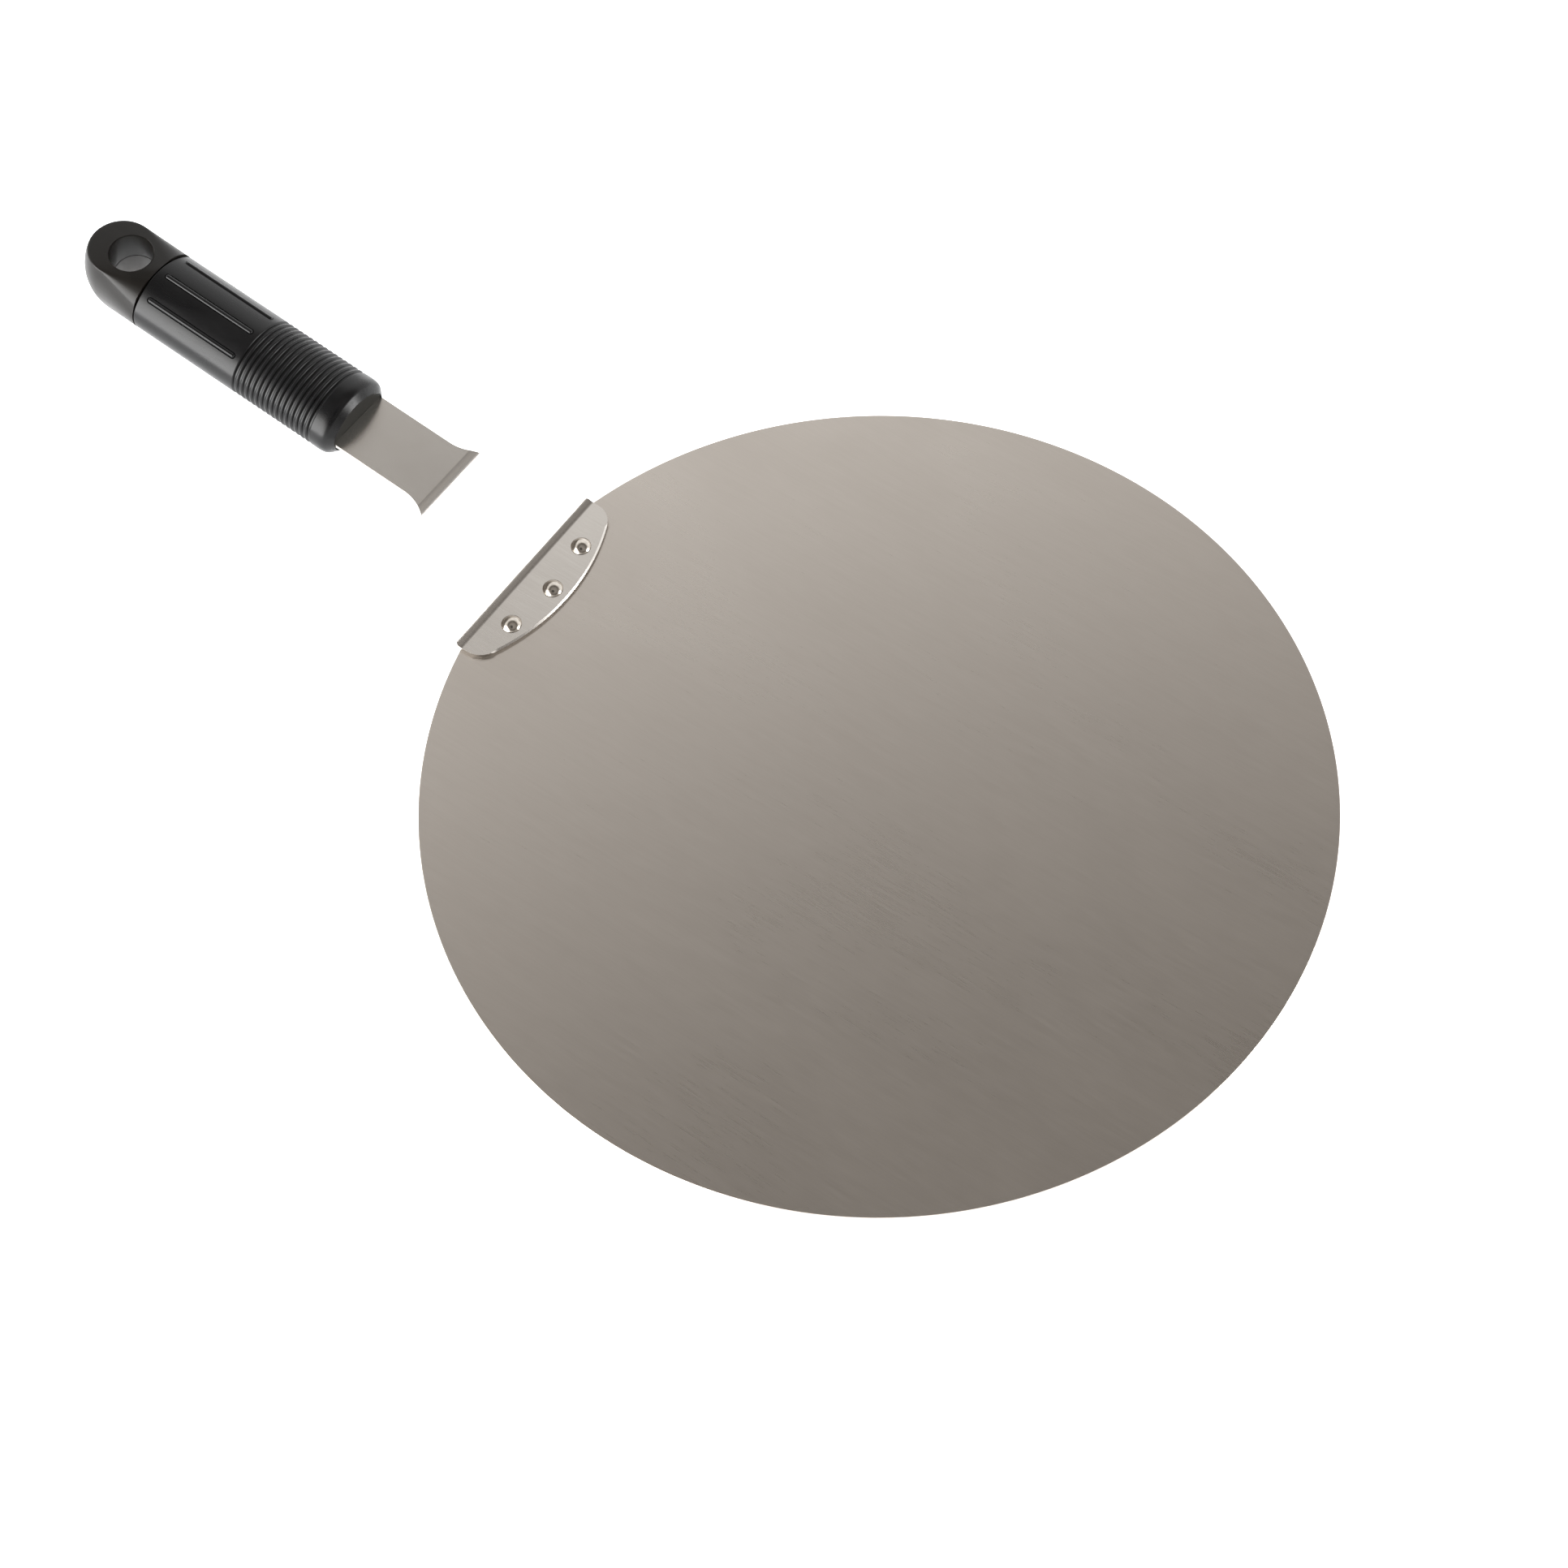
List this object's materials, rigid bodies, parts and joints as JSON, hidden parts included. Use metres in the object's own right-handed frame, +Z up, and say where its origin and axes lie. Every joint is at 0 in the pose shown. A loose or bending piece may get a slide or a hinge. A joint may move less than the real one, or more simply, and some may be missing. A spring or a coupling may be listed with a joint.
{
  "type": "pizza peel",
  "caption": "Round steel pizza peel with a cranked sheet bracket riveted to the blade and a ribbed black moulded handle with a hang hole.",
  "frame": {"origin": "centre of the round plate, on its underside", "axes": "+Z up, off the plate's top; the handle points along -X; +Y is across the plate"},
  "size_m": [0.4874, 0.305, 0.0652],
  "materials": {
    "plate_steel": "satin brushed stainless sheet, fine short grain along the handle's direction",
    "bracket_steel": "finely brushed stainless sheet with a polished cut edge",
    "rivet_steel": "polished dome",
    "grip_plastic": "satin gloss black moulded plastic",
    "cap_plastic": "satin gloss black moulded plastic",
    "core_plastic": "matte black-olive moulded plastic"
  },
  "bodies": {
    "root": {"plate": "plate_steel", "bracket": "bracket_steel", "rivet_left": "rivet_steel", "rivet_centre": "rivet_steel", "rivet_right": "rivet_steel", "handle_core": "core_plastic", "grip_sleeve": "grip_plastic", "end_cap": "cap_plastic"}
  },
  "joints": []
}
